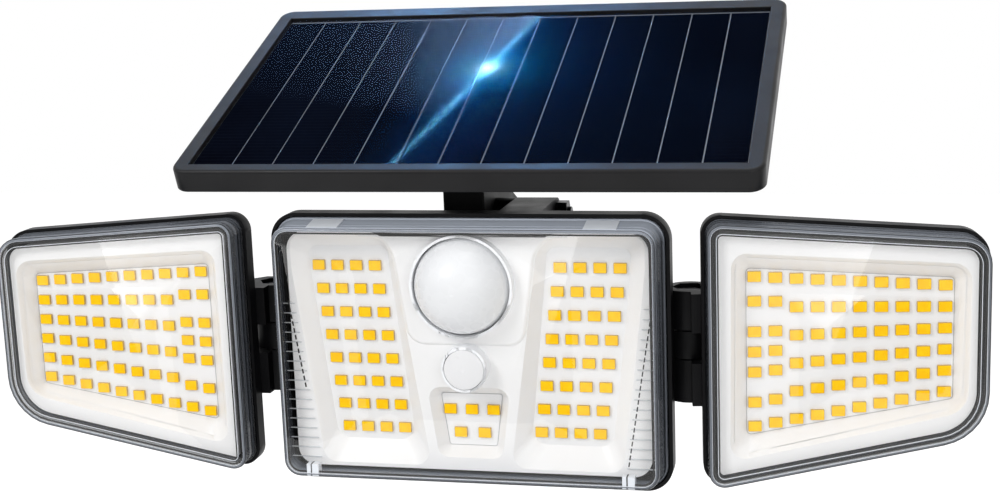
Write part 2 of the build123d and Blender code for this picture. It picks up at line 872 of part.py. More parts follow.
wing_cavity = lofted(
    wing_plane(wing_cover_back),
    grown(wing_cover_foot, -wing_cover_wall),
    wing_plane(wing_cover_inside),
    grown(wing_cover_foot, -wing_cover_wall - wing_slope * (wing_cover_inside - wing_cover_back)),
)
with BuildPart() as wing_clear_cover:
    add(
        lofted(
            wing_plane(wing_cover_back), wing_cover_foot, wing_plane(wing_front), wing_cover_front
        )
    )
    fillet(wing_clear_cover.faces().sort_by(Axis.Y)[0].edges(), cover_edge_radius)
    add(wing_cavity, mode=Mode.SUBTRACT)
save_wings(wing_clear_cover.part, "wing_clear_cover")

with BuildPart() as wing_reflector:
    with BuildSketch(wing_plane(wing_shell_inside)):
        add(wing_flange)
    extrude(amount=wing_flange_front - wing_shell_inside)
    with BuildSketch(wing_plane(wing_shell_inside)):
        add(grown(wing_flange, -reflector_sheet))
    extrude(amount=wing_flange_underside - wing_shell_inside, mode=Mode.SUBTRACT)
    with BuildSketch(wing_plane(wing_board_front)):
        add(grown(wing_recess_rim, -reflector_sheet))
    extrude(amount=wing_flange_underside - wing_board_front)
    with BuildSketch(wing_plane(wing_shell_inside)):
        with Locations(*wing_screw_spots):
            Circle(wing_boss_radius)
    extrude(amount=wing_flange_underside - wing_shell_inside)
    add(
        lofted(
            wing_plane(wing_board_front),
            wing_recess_floor,
            wing_plane(wing_flange_front),
            wing_recess_rim,
        ),
        mode=Mode.SUBTRACT,
    )
    with BuildSketch(wing_plane(wing_shell_inside)):
        with Locations(*wing_screw_spots):
            Circle(screw_radius + fit)
    extrude(amount=wing_screw_length - wing_shell_floor, mode=Mode.SUBTRACT)
save_wings(wing_reflector.part, "wing_reflector")

with BuildPart() as wing_led_board:
    with BuildSketch(wing_plane(wing_board_back)):
        add(grown(wing_recess_floor, board_margin))
    extrude(amount=board_thickness)
save_wings(wing_led_board.part, "wing_led_board")


def wing_chip_spots():
    spots = []
    for column in range(wing_columns):
        out = column * wing_column_pitch
        column_u = wing_outer_column - out
        top = wing_top_row + wing_top_slope * out
        bottom = wing_bottom_row - wing_bottom_slope * out
        if column < wing_columns - wing_short_columns:
            steps = row_of(wing_long_rows, 2 / (wing_long_rows - 1))
        else:
            steps = wing_close_steps
        for step in steps:
            spots.append((column_u, (top + bottom) / 2 + step * (top - bottom) / 2))
    return spots


save_wings(chip_set(wing_plane(wing_board_front), wing_chip_spots()), "wing_led_chips")
wing_screws = screw_set(wing_plane(wing_shell_back), wing_screw_spots, wing_screw_length)
save_wings(wing_screws, "wing_screws")

with BuildPart() as hinge_bolt:
    with BuildSketch(wing_level.offset(barrel_top - hex_depth)):
        RegularPolygon(hex_across / 2, 6, major_radius=False)
    extrude(amount=hinge_head_height)
    with BuildSketch(wing_level.offset(barrel_bottom + hex_gap)):
        Circle(hinge_bolt_radius)
    extrude(amount=barrel_top - hex_depth - barrel_bottom - hex_gap)
save_wings(hinge_bolt.part, "hinge_bolt")

with BuildPart() as hinge_nut:
    with BuildSketch(wing_level.offset(barrel_bottom + hex_depth - hinge_nut_height)):
        RegularPolygon(hex_across / 2, 6, major_radius=False)
        Circle(hinge_bolt_radius + fit, mode=Mode.SUBTRACT)
    extrude(amount=hinge_nut_height)
save_wings(hinge_nut.part, "hinge_nut")

# ---------------------------------------------------------------- solar panel
with BuildPart() as panel_frame:
    with BuildSketch(panel_plane(frame_bottom)):
        with Locations((0, frame_shift)):
            RectangleRounded(frame_width, frame_depth, frame_corner)
    extrude(amount=frame_top - frame_bottom)
    top_face = panel_frame.faces().sort_by(normal_axis(panel_plane(0)))[-1]
    fillet(top_face.edges(), frame_edge_radius)
    with BuildSketch(panel_plane(backsheet_back)):
        Rectangle(pv_width + 2 * seat, pv_depth + 2 * seat)
    extrude(amount=frame_top - backsheet_back, mode=Mode.SUBTRACT)
    with BuildSketch(panel_plane(frame_bottom)):
        Rectangle(pv_width - 2 * frame_ledge, pv_depth - 2 * frame_ledge)
    extrude(amount=frame_top - frame_bottom, mode=Mode.SUBTRACT)
    with BuildSketch(panel_plane(frame_bottom)):
        Rectangle(pv_width + 2 * seat, pv_depth + 2 * seat)
    extrude(amount=ledge_back - frame_bottom, mode=Mode.SUBTRACT)
save(panel_frame.part, "panel_frame")

with BuildPart() as panel_backsheet:
    with BuildSketch(panel_plane(backsheet_back)):
        Rectangle(pv_width, pv_depth)
    extrude(amount=sheet_thickness)
save(panel_backsheet.part, "panel_backsheet")

with BuildPart() as solar_cells:
    with BuildSketch(panel_plane(backsheet_front)):
        with GridLocations(solar_cell_pitch, 0, cell_count, 1):
            Rectangle(solar_cell_pitch - cell_gap, pv_depth - 2 * cell_border)
    extrude(amount=cell_thickness)
save(solar_cells.part, "solar_cells")

with BuildPart() as panel_clear_sheet:
    with BuildSketch(panel_plane(-glass_thickness)):
        Rectangle(pv_width, pv_depth)
    extrude(amount=glass_thickness)
save(panel_clear_sheet.part, "panel_clear_sheet")

pivot_drop = panel_set_back * sin(lean) - panel_rise * cos(lean)
pivot_along = -panel_set_back * cos(lean) - panel_rise * sin(lean)
arm_middle = (arm_left_face + arm_right_face) / 2
base_bottom = frame_bottom - base_thickness
base_place = Location((arm_middle, pivot_along))
base_screw_spots = [
    (arm_middle + x, pivot_along + y)
    for x in (-base_screw_span_x / 2, base_screw_span_x / 2)
    for y in (-base_screw_span_y / 2, base_screw_span_y / 2)
]

with BuildPart() as panel_back_cover:
    with BuildSketch(panel_plane(frame_bottom)):
        Rectangle(pv_width, pv_depth)
        with Locations(*base_screw_spots):
            Circle(screw_radius + fit, mode=Mode.SUBTRACT)
        with Locations((panel_gland_x, panel_gland_y)):
            Circle(gland_stem_radius + fit, mode=Mode.SUBTRACT)
    extrude(amount=ledge_back - frame_bottom)
save(panel_back_cover.part, "panel_back_cover")


def ear_plane(x):
    # the origin is on the tilt axis, x runs up the slope of the panel and y along its normal
    origin = (x, pivot_point_y, panel_pivot_z)
    return Plane(origin=origin, x_dir=(0, cos(lean), sin(lean)), z_dir=(1, 0, 0))


ear_top = base_bottom - pivot_drop
ear_side = (
    (-ear_root / 2, ear_top),
    (ear_root / 2, ear_top),
    (ear_radius, 0),
    (-ear_radius, 0),
)

with BuildPart() as panel_bracket:
    with BuildSketch(panel_plane(base_bottom)):
        with Locations(base_place):
            RectangleRounded(base_width, base_depth, frame_corner)
        with Locations(*base_screw_spots):
            Circle(screw_radius + fit, mode=Mode.SUBTRACT)
    extrude(amount=base_thickness)
    for face_x in (ear_left_face, ear_right_face - ear_thickness):
        with BuildSketch(ear_plane(face_x)):
            with BuildLine():
                Polyline(*ear_side, close=True)
            make_face()
            Circle(ear_radius)
            Circle(pivot_bolt_radius + fit, mode=Mode.SUBTRACT)
        extrude(amount=ear_thickness)
save(panel_bracket.part, "panel_bracket")

panel_bracket_screws = screw_set(panel_plane(base_bottom), base_screw_spots, base_screw_length)
save(panel_bracket_screws, "panel_bracket_screws")

under_panel = panel_plane(frame_bottom)
panel_gland_place = Plane(
    origin=under_panel.from_local_coords((panel_gland_x, panel_gland_y, 0)),
    x_dir=(1, 0, 0),
    z_dir=-under_panel.z_dir,
)
save(cable_gland(panel_gland_place), "panel_cable_gland")
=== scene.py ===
import json
import math

import bmesh
import bpy
from mathutils import Matrix, Vector


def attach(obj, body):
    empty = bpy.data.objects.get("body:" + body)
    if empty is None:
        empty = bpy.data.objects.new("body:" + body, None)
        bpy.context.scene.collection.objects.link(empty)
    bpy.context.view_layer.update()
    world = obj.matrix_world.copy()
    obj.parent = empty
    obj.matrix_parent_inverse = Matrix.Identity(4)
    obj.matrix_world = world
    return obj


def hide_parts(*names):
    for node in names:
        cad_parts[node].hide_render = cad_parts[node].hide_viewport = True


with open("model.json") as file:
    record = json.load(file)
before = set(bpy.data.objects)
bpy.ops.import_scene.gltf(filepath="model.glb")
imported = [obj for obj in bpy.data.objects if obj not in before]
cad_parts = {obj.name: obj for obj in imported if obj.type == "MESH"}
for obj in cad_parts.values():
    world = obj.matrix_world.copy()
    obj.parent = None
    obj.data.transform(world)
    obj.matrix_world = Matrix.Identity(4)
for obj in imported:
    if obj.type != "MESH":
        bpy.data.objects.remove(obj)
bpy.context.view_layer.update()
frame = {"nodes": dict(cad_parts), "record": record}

mm = 0.001
nodes = frame["nodes"]
print("stage: frame loaded with", len(nodes), "nodes")


class Wire:
    # a socket that can be added, multiplied and compared like a number
    def __init__(self, paint, socket):
        self.paint = paint
        self.socket = socket

    def run(self, operation, first, second=0.0):
        return self.paint.node("ShaderNodeMath", {"operation": operation}, {0: first, 1: second})

    def __add__(self, other):
        return self.run("ADD", self, other)

    def __radd__(self, other):
        return self.run("ADD", other, self)

    def __sub__(self, other):
        return self.run("SUBTRACT", self, other)

    def __rsub__(self, other):
        return self.run("SUBTRACT", other, self)

    def __mul__(self, other):
        return self.run("MULTIPLY", self, other)

    def __rmul__(self, other):
        return self.run("MULTIPLY", other, self)

    def __truediv__(self, other):
        return self.run("DIVIDE", self, other)

    def __pow__(self, other):
        return self.run("POWER", self, other)

    def __rpow__(self, other):
        return self.run("POWER", other, self)

    def above(self, edge):
        return self.run("GREATER_THAN", self, edge)

    def atLeast(self, other):
        return self.run("MAXIMUM", self, other)

    def unsigned(self):
        return self.run("ABSOLUTE", self)

    def fraction(self):
        return self.run("FRACT", self)

    def fallOff(self, reach):
        # 1 at zero, falling to 1/e at the reach
        return math.e ** (self * (-1 / reach))


shaderSockets = {
    "colour": "Base Color",
    "roughness": "Roughness",
    "metallic": "Metallic",
    "specular": "Specular IOR Level",
    "normal": "Normal",
    "glow": "Emission Color",
    "glowStrength": "Emission Strength",
}
noiseRange = (0.3, 0.7)  # nearly all of a noise texture lies between these
noiseDetail = {"plain": 2.0, "usual": 3.0, "rich": 4.0}  # octaves of a noise texture
strongGrain = 0.6  # how much the fine octaves of a noise texture count


def opaque(colour):
    return colour if isinstance(colour, Wire) else (*colour, 1.0)


class Paint:
    # the shader nodes of one material or world
    def __init__(self, owner):
        owner.use_nodes = True
        self.owner = owner
        self.tree = owner.node_tree
        self.shader = self.tree.nodes.get("Principled BSDF")

    def plug(self, target, value):
        if isinstance(value, Wire):
            self.tree.links.new(value.socket, target)
        else:
            target.default_value = value

    def node(self, kind, settings, sockets, out=0):
        # settings come first, then the values or links of the sockets
        node = self.tree.nodes.new(kind)
        for key, value in settings.items():
            if key == "stops":
                self.setStops(node.color_ramp.elements, value)
            else:
                setattr(node, key, value)
        for key, value in sockets.items():
            self.plug(node.inputs[key], value)
        return Wire(self, node.outputs[out])

    def setStops(self, points, stops):
        while len(points) < len(stops):
            points.new(0.5)
        for point, (spot, shade) in zip(points, stops):
            point.position = spot
            point.color = (shade, shade, shade, 1.0)

    def place(self):
        return self.node("ShaderNodeTexCoord", {}, {}, "Object")

    def facing(self):
        return self.node("ShaderNodeTexCoord", {}, {}, "Normal")

    def along(self, direction, vector=None):
        # how far the place, or another vector, goes along a direction
        sockets = {0: vector or self.place(), 1: direction}
        return self.node("ShaderNodeVectorMath", {"operation": "DOT_PRODUCT"}, sockets, "Value")

    def scaled(self, vector, factor):
        return self.node("ShaderNodeVectorMath", {"operation": "SCALE"}, {0: vector, "Scale": factor})

    def summed(self, first, second):
        return self.node("ShaderNodeVectorMath", {"operation": "ADD"}, {0: first, 1: second})

    def noise(self, scale, level="usual", rough=0.5, place=None):
        sockets = {"Vector": place or self.place(), "Scale": scale}
        sockets.update({"Detail": noiseDetail[level], "Roughness": rough})
        return self.node("ShaderNodeTexNoise", {}, sockets, "Fac")

    def facets(self, scale):
        return self.node("ShaderNodeTexVoronoi", {}, {"Vector": self.place(), "Scale": scale}, "Distance")

    def layered(self, direction, thin, wide):
        # noise drawn out into long streaks that change quickly along one direction
        step = self.along(direction) * thin
        steps = self.node("ShaderNodeCombineXYZ", {}, {0: step, 1: step, 2: step})
        return self.noise(1.0, "plain", strongGrain, self.summed(self.scaled(self.place(), wide), steps))

    def spread(self, value, low, high, span=noiseRange):
        sockets = {"Value": value, "From Min": span[0], "From Max": span[1], "To Min": low, "To Max": high}
        return self.node("ShaderNodeMapRange", {}, sockets)

    def cloud(self, scale, level="usual"):
        return self.spread(self.noise(scale, level), 0.0, 1.0)

    def mixed(self, share, first, second):
        sockets = {0: share, 6: opaque(first), 7: opaque(second)}
        return self.node("ShaderNodeMix", {"data_type": "RGBA"}, sockets, 2)

    def bump(self, height, depth, strength):
        return self.node("ShaderNodeBump", {}, {"Height": height, "Distance": depth, "Strength": strength})

    def set(self, **values):
        for key, value in values.items():
            self.plug(self.shader.inputs[shaderSockets[key]], value)

    def clearWith(self, share):
        # the shader shows by this share and the rest is see-through
        through = self.node("ShaderNodeBsdfTransparent", {}, {})
        solid = Wire(self, self.shader.outputs[0])
        joined = self.node("ShaderNodeMixShader", {}, {0: share, 1: through, 2: solid})
        self.plug(self.tree.nodes["Material Output"].inputs["Surface"], joined)


def newPaint(name):
    return Paint(bpy.data.materials.new(name))


# where the pieces are drawn: millimetres across, up and outwards from a piece's own origin
layout = {
    "gridLevel": 20.0,  # middle of the LED grid above the wall plate's centre
    "gridFront": -100.0,
    "coverDrop": 0.4,  # the head's cover sits this much below the grid
    "hingeSide": 59.0,
    "hingeFront": -90.0,
    "rightSwing": math.radians(9.0),
    "panelFront": -62.4,
    "panelRise": 68.6,  # above the LED grid
    "panelLean": math.radians(21.67),
}


class Spot:
    def __init__(self, origin, across, up, outward):
        self.origin, self.across, self.up, self.outward = map(Vector, (origin, across, up, outward))

    def at(self, x, y, depth):
        return (self.origin + self.across * x + self.up * y + self.outward * depth) * mm


def allSpots():
    level, front = layout["gridLevel"], layout["gridFront"]
    side, hinge = layout["hingeSide"], layout["hingeFront"]
    swing, lean = layout["rightSwing"], layout["panelLean"]
    right, up, forward = (1, 0, 0), (0, 0, 1), (0, -1, 0)
    swungRight, swungForward = (math.cos(swing), math.sin(swing), 0), (math.sin(swing), -math.cos(swing), 0)
    leantUp, leantOut = (0, math.cos(lean), math.sin(lean)), (0, -math.sin(lean), math.cos(lean))
    return {
        "head": Spot((0, front, level - layout["coverDrop"]), right, up, forward),
        "grid": Spot((0, front, level), right, up, forward),
        "left": Spot((-side, hinge, level), (-1, 0, 0), up, forward),
        "right": Spot((side, hinge, level), swungRight, up, swungForward),
        "panel": Spot((0, layout["panelFront"], level + layout["panelRise"]), right, leantUp, leantOut),
    }


spots = allSpots()

# every finish: the scales of its noise, how far its roughness swings, and the depth of its grain
mouldedLook = {
    "cloud": 40.0,
    "patches": 90.0,
    "smoother": 0.06,
    "rougher": 0.08,
    "grainDepth": 0.04 * mm,
    "grainShare": 0.5,
}
whiteLook = {
    "cloud": 30.0,
    "patches": 120.0,
    "smoother": 0.04,
    "rougher": 0.05,
    "grain": 700.0,
    "grainDepth": 0.02 * mm,
    "grainShare": 0.3,
}
rubberLook = {
    "cloud": 200.0,
    "lighter": 1.3,
    "patches": 500.0,
    "swing": 0.05,
    "grain": 1500.0,
    "grainDepth": 0.03 * mm,
    "grainShare": 0.4,
    "specular": 0.2,
}
steelLook = {
    "scratches": 800.0,
    "darker": 0.7,
    "smoother": 0.05,
    "rougher": 0.1,
    "depth": 0.03 * mm,
    "share": 0.3,
}


def mouldedPlastic(name, dark, light, rough, specular, grain):
    paint, look = newPaint(name), mouldedLook
    fine = paint.noise(grain, "plain", strongGrain)
    paint.set(
        colour=paint.mixed(paint.cloud(look["cloud"], "rich"), dark, light),
        roughness=paint.spread(
            paint.noise(look["patches"]), rough - look["smoother"], rough + look["rougher"]
        ),
        normal=paint.bump(fine, look["grainDepth"], look["grainShare"]),
        specular=specular,
    )
    return paint.owner


def whitePlastic(name, white, shade, rough, specular):
    paint, look = newPaint(name), whiteLook
    paint.set(
        colour=paint.mixed(paint.cloud(look["cloud"]), shade, white),
        roughness=paint.spread(
            paint.noise(look["patches"]), rough - look["smoother"], rough + look["rougher"]
        ),
        normal=paint.bump(paint.noise(look["grain"], "plain"), look["grainDepth"], look["grainShare"]),
        specular=specular,
    )
    return paint.owner


def rubber(name, colour, rough):
    paint, look = newPaint(name), rubberLook
    paint.set(
        colour=paint.mixed(paint.noise(look["cloud"]), colour, [look["lighter"] * part for part in colour]),
        roughness=paint.spread(paint.noise(look["patches"]), rough - look["swing"], rough + look["swing"]),
        normal=paint.bump(paint.noise(look["grain"]), look["grainDepth"], look["grainShare"]),
        specular=look["specular"],
    )
    return paint.owner


def steel(name, colour, rough):
    paint, look = newPaint(name), steelLook
    scratches = paint.noise(look["scratches"], "rich")
    paint.set(
        colour=paint.mixed(scratches, colour, [look["darker"] * part for part in colour]),
        metallic=1.0,
        roughness=paint.spread(scratches, rough - look["smoother"], rough + look["rougher"]),
        normal=paint.bump(scratches, look["depth"], look["share"]),
    )
    return paint.owner


phosphorLook = {
    "deep": (1.0, 0.55, 0.002),
    "pale": (1.0, 0.64, 0.004),
    "cloud": 420.0,
    "patches": 900.0,
    "rough": (0.36, 0.5),
    # strength of the phosphor's painted glow
    "glow": 0.05,
    "specular": 0.15,
}
lensLook = {
    "shade": (0.76, 0.77, 0.79),
    "white": (0.82, 0.83, 0.84),
    "cloud": 50.0,
    "facets": 420.0,
    "rough": (0.22, 0.3),
    "facetDepth": 0.03 * mm,
    "facetShare": 0.2,
    "specular": 0.2,
}
cellLook = {
    "black": (0.0012, 0.0016, 0.004),
    "blue": (0.002, 0.0035, 0.009),
    "cloud": 25.0,
    "finger": (0.01, 0.013, 0.02),
    "fingersPerMm": 0.55,
    "gap": 0.86,  # the share of each step that is bare silicon
    "fingerShare": 0.4,
    "patches": 400.0,
    "rough": (0.35, 0.45),
}


def phosphor(name):
    paint, look = newPaint(name), phosphorLook
    colour = paint.mixed(paint.cloud(look["cloud"], "plain"), look["deep"], look["pale"])
    paint.set(
        colour=colour,
        roughness=paint.spread(paint.noise(look["patches"]), *look["rough"]),
        # painted glow: the phosphor shines faintly by itself, lit or not
        glow=colour,
        glowStrength=look["glow"],
        specular=look["specular"],
    )
    return paint.owner


def milkyLens(name):
    paint, look = newPaint(name), lensLook
    facets = paint.facets(look["facets"])
    paint.set(
        colour=paint.mixed(paint.cloud(look["cloud"]), look["shade"], look["white"]),
        roughness=paint.spread(facets, *look["rough"]),
        normal=paint.bump(facets, look["facetDepth"], look["facetShare"]),
        specular=look["specular"],
    )
    return paint.owner


def silicon(name):
    # fine finger lines run across each cell, barely lighter than the silicon
    paint, look = newPaint(name), cellLook
    base = paint.mixed(paint.cloud(look["cloud"], "plain"), look["black"], look["blue"])
    steps = paint.along(spots["panel"].up) / mm * look["fingersPerMm"]
    paint.set(
        colour=paint.mixed(steps.fraction().above(look["gap"]) * look["fingerShare"], base, look["finger"]),
        roughness=paint.spread(paint.noise(look["patches"]), *look["rough"]),
        specular=0.0,
    )
    return paint.owner


faceLook = {"patches": 80.0, "rougher": 0.01, "blend": 0.5, "steepness": 5.0}


def clearFace(name, facing, grazing, rough):
    # a polished face: it mirrors a little, more at a low angle, and is see-through otherwise
    paint, look = newPaint(name), faceLook
    paint.set(
        colour=(1, 1, 1, 1),
        metallic=1.0,
        roughness=paint.spread(paint.noise(look["patches"]), rough, rough + look["rougher"]),
    )
    low = paint.node("ShaderNodeLayerWeight", {}, {"Blend": look["blend"]}, "Facing")
    paint.clearWith((low ** look["steepness"]) * grazing + facing)
    return paint.owner


edgeLook = {
    "thin": 1700.0,
    "wide": 5.0,
    "waver": 0.2,
    # the next three set the painted light and shade: a painted highlight on upward sides, then the dark and
    # pale ends of the painted bands
    "paintedTopStreak": (0.6, 0.8),
    "dark": (0.002, 0.002, 0.003),
    "pale": (0.56, 0.61, 0.7),
    "rough": (0.06, 0.16),
    "streakDepth": 0.1 * mm,
    "streakShare": 0.35,
    "specular": 0.25,
    "swing": 0.12,
}


def clearEdgeWithPaintedLight(name, spot, cover):
    # the side of a thick clear moulding, with long streaks that follow the outline, coloured with painted
    # light and shade
    paint, look = newPaint(name), edgeLook
    start = spot.origin.dot(spot.outward) + cover["foot"]
    rise = (paint.along(spot.outward) / mm - start) / (cover["front"] - cover["foot"])
    streaks = paint.layered(spot.outward, look["thin"], look["wide"])
    wavy = rise + (streaks - 0.5) * look["waver"]
    # painted bands of light and shade across the wall's depth, standing in for reflections and for what shows
    # through the clear wall
    shade = paint.node("ShaderNodeValToRGB", {"stops": cover["stops"]}, {0: wavy})
    # painted highlight: the sides that face up are made lighter, as if lit from above
    paintedTopLight = paint.along((0.0, 0.0, 1.0), paint.facing()).atLeast(0.0)
    plain, streakedTopLight = look["paintedTopStreak"]
    shade = shade + paintedTopLight * cover["paintedTopHighlight"] * (streaks * streakedTopLight + plain)
    paint.set(
        colour=paint.mixed(shade, look["dark"], look["pale"]),
        roughness=paint.spread(streaks, *look["rough"]),
        normal=paint.bump(streaks, look["streakDepth"], look["streakShare"]),
        specular=look["specular"],
    )
    paint.clearWith(paint.spread(streaks, cover["share"] - look["swing"], cover["share"] + look["swing"]))
    return paint.owner


black = (0.003, 0.003, 0.0035)
frameDark, frameLight = (0.004, 0.004, 0.0045), (0.007, 0.007, 0.008)
# the numbers that end a line are roughness, specular level and the scale of the grain
materials = {
    "black_plastic": mouldedPlastic("blackPlastic", black, (0.006, 0.006, 0.007), 0.42, 0.12, 2600.0),
    "bracket_plastic": mouldedPlastic("bracketPlastic", black, (0.006, 0.006, 0.006), 0.45, 0.12, 2200.0),
    "panel_frame_plastic": mouldedPlastic("framePlastic", frameDark, frameLight, 0.4, 0.2, 2400.0),
    "gland_plastic": mouldedPlastic("glandPlastic", (0.008,) * 3, (0.014,) * 3, 0.5, 0.4, 2600.0),
    "clear_plastic": clearFace("clearPlastic", 0.035, 0.7, 0.01),
    "panel_sheet": clearFace("panelSheet", 0.0016, 0.04, 0.01),
    "white_reflector": whitePlastic("whiteReflector", (0.92, 0.92, 0.92), (0.9, 0.9, 0.905), 0.34, 0.35),
    "white_board": whitePlastic("whiteBoard", (0.9, 0.9, 0.91), (0.86, 0.87, 0.88), 0.36, 0.3),
    "led_phosphor": phosphor("ledPhosphor"),
    "milky_lens": milkyLens("milkyLens"),
    "white_button": whitePlastic("whiteButton", (0.78, 0.78, 0.79), (0.74, 0.74, 0.75), 0.3, 0.3),
    "black_rubber": rubber("blackRubber", (0.012, 0.012, 0.012), 0.7),
    "grey_rubber": rubber("greyRubber", (0.8, 0.81, 0.83), 0.5),
    "dark_steel": steel("darkSteel", (0.07, 0.07, 0.075), 0.35),
    "bright_steel": steel("brightSteel", (0.62, 0.62, 0.63), 0.25),
    "green_board": rubber("greenBoard", (0.02, 0.13, 0.05), 0.35),
    "cell_wrap": rubber("cellWrap", (0.03, 0.12, 0.4), 0.35),
    "silicon": silicon("silicon"),
    "pale_sheet": whitePlastic("paleSheet", (0.13, 0.145, 0.17), (0.1, 0.115, 0.14), 0.5, 0.4),
}
slotOf = {entry["node"]: entry["material_slot"] for entry in frame["record"]["subparts"]}
for name, node in nodes.items():
    node.data.materials.clear()
    node.data.materials.append(materials[slotOf[name]])
print("stage: materials on every node")

smallestRound = 0.05


def box(left, right, bottom, top):
    return ((left, bottom), (right, bottom), (right, top), (left, top))


def rectangle(width, height):
    return box(-width / 2, width / 2, -height / 2, height / 2)


def crossed(a, b):
    return a.x * b.y - a.y * b.x


def roundedPath(corners, radii, grow=0.0, steps=7):
    # the outline with rounded corners, every side moved outwards by grow
    points = [Vector(corner) for corner in corners]
    following = points[1:] + points[:1]
    turnSign = 1 if sum(map(crossed, points, following)) > 0 else -1
    sides = []
    for point, end in zip(points, following):
        way = (end - point).normalized()
        outside = Vector((way.y, -way.x)) * turnSign
        sides.append((point + outside * grow, way))
    path = []
    for i, radius in enumerate(radii):
        (start, arriving), (end, leaving) = sides[i - 1], sides[i]
        bend = crossed(arriving, leaving)
        corner = start + arriving * (crossed(end - start, leaving) / bend)
        radius = max(radius + (grow if bend * turnSign > 0 else -grow), smallestRound)
        half = math.acos(max(-1, min(1, (-arriving).dot(leaving)))) / 2
        middle = corner + (leaving - arriving).normalized() * (radius / math.sin(half))
        first = corner - arriving * (radius / math.tan(half)) - middle
        last = corner + leaving * (radius / math.tan(half)) - middle
        sweep = math.atan2(crossed(first, last), first.dot(last))
        for step in range(steps + 1):
            angle = sweep * step / steps
            turned = Vector((
                first.x * math.cos(angle) - first.y * math.sin(angle),
                first.x * math.sin(angle) + first.y * math.cos(angle),
            ))
            path.append(tuple(middle + turned))
    return path


def circlePath(x, y, radius, steps=64):
    turns = [2 * math.pi * step / steps for step in range(steps)]
    return [(x + radius * math.cos(turn), y + radius * math.sin(turn)) for turn in turns]


crispAngle = math.radians(32)  # edges sharper than this aren't smoothed over


class Piece:
    def __init__(self, name, spot):
        self.name = name
        self.spot = spot
        self.mesh = bmesh.new()

    def ring(self, path, depth):
        return [self.mesh.verts.new(self.spot.at(x, y, depth)) for x, y in path]

    def band(self, lower, upper, finish=0):
        for i in range(len(lower)):
            j = (i + 1) % len(lower)
            face = self.mesh.faces.new((lower[i], lower[j], upper[j], upper[i]))
            face.material_index = finish

    def rings(self, stations, finish=0):
        # stations are (path, depth); neighbours are joined by a band
        made = [self.ring(path, depth) for path, depth in stations]
        for lower, upper in zip(made, made[1:]):
            self.band(lower, upper, finish)
        return made

    def loop(self, stations, finish=0):
        # a closed ring whose cross-section runs through the stations
        made = self.rings(stations, finish)
        self.band(made[-1], made[0], finish)

    def cap(self, ring, finish=0):
        self.mesh.faces.new(ring).material_index = finish

    def block(self, stations, finish=0):
        # a solid between its first and last outline
        made = self.rings(stations, finish)
        self.cap(made[0], finish)
        self.cap(made[-1], finish)

    def plate(self, borders, finish=0):
        # a flat face inside the first border, with the others as holes
        edges = []
        for ring in borders:
            for i in range(len(ring)):
                pair = (ring[i], ring[(i + 1) % len(ring)])
                edges.append(self.mesh.edges.get(pair) or self.mesh.edges.new(pair))
        filled = bmesh.ops.triangle_fill(self.mesh, edges=edges, use_beauty=True, use_dissolve=False)
        for face in filled["geom"]:
            if isinstance(face, bmesh.types.BMFace):
                face.material_index = finish

    def done(self, body, slot, finishes, replaced=(), smooth=True):
        bmesh.ops.recalc_face_normals(self.mesh, faces=self.mesh.faces)
        data = bpy.data.meshes.new(self.name)
        self.mesh.to_mesh(data)
        self.mesh.free()
        for finish in finishes:
            data.materials.append(finish)
        if smooth:
            data.polygons.foreach_set("use_smooth", [True] * len(data.polygons))
            data.set_sharp_from_angle(angle=crispAngle)
        piece = bpy.data.objects.new(self.name, data)
        bpy.context.scene.collection.objects.link(piece)
        if replaced:
            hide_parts(*replaced)
        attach(piece, body)


# the moulded pieces that stay as they are get softened edges, this wide
softEdges = {
    "head_back_shell": 0.5,
    "left_wing_back_shell": 0.4,
    "right_wing_back_shell": 0.4,
    "wall_bracket": 0.7,
    "panel_bracket": 0.5,
    "panel_frame": 0.25,
    "head_reflector": 0.45,
    "left_wing_reflector": 0.45,
    "right_wing_reflector": 0.45,
    "mode_button": 0.4,
}
softening = {"weld": 0.002, "segments": 3, "angle": 38}


def softenEdges(node, width):
    weld = node.modifiers.new("weld", "WELD")
    weld.merge_threshold = softening["weld"] * mm
    bevel = node.modifiers.new("bevel", "BEVEL")
    bevel.width = width * mm
    bevel.segments = softening["segments"]
    bevel.limit_method = "ANGLE"
    bevel.angle_limit = math.radians(softening["angle"])
    bevel.harden_normals = True
    bevel.use_clamp_overlap = True


for name, width in softEdges.items():
    softenEdges(nodes[name], width)
print("stage: edges softened")

# clear covers; stops paint bands of light and shade on the side wall from the foot to the front, and the top
# setting is the strength of a painted highlight on its upward sides
headCover = {
    "outline": rectangle(105.0, 70.3),
    "corners": (4.5, 4.5, 4.5, 4.5),
    "foot": -0.8,
    "front": 9.0,
    "flare": 1.7,
    "wall": 1.4,
    "face": 1.2,
    "holes": ((0.0, 19.1, 13.02), (0.0, -3.6, 5.65)),
    "stops": (
        (0.0, 0.0),
        (0.12, 0.02),
        (0.22, 0.4),
        (0.34, 0.04),
        (0.5, 0.3),
        (0.6, 0.05),
        (0.76, 0.4),
        (0.86, 0.02),
        (0.95, 0.3),
    ),
    "share": 0.72,
    "paintedTopHighlight": 1.1,
}
wingCover = {
    "outline": ((3.6, 36.9), (75.0, 31.3), (75.0, -20.3), (3.6, -34.2)),
    "corners": (4.0, 7.0, 14.0, 4.0),
    "foot": 12.8,
    "front": 22.0,
    "flare": 0.2,
    "wall": 1.6,
    "face": 1.6,
    "holes": (),
    "stops": (
        (0.0, 0.0),
        (0.2, 0.01),
        (0.32, 0.22),
        (0.44, 0.02),
        (0.58, 0.26),
        (0.7, 0.02),
        (0.8, 0.16),
        (0.9, 0.0),
        (0.96, 0.34),
    ),
    "share": 0.74,
    "paintedTopHighlight": 0.22,
}
# the wall's outer side, as (height above the foot, step) and (distance behind the front, step)
coverWall = {
    "low": ((0.0, 0.0), (1.6, 0.0), (1.9, -0.3)),
    "high": ((3.4, -0.3), (3.1, -0.55), (2.8, -0.3), (1.6, -0.15)),
    "round": 0.9,
    "roundSteps": 5,
}


def coverSlope(cover):
    return cover["flare"] / (cover["front"] - cover["foot"])


def coverPath(cover, grow):
    return roundedPath(cover["outline"], cover["corners"], grow)


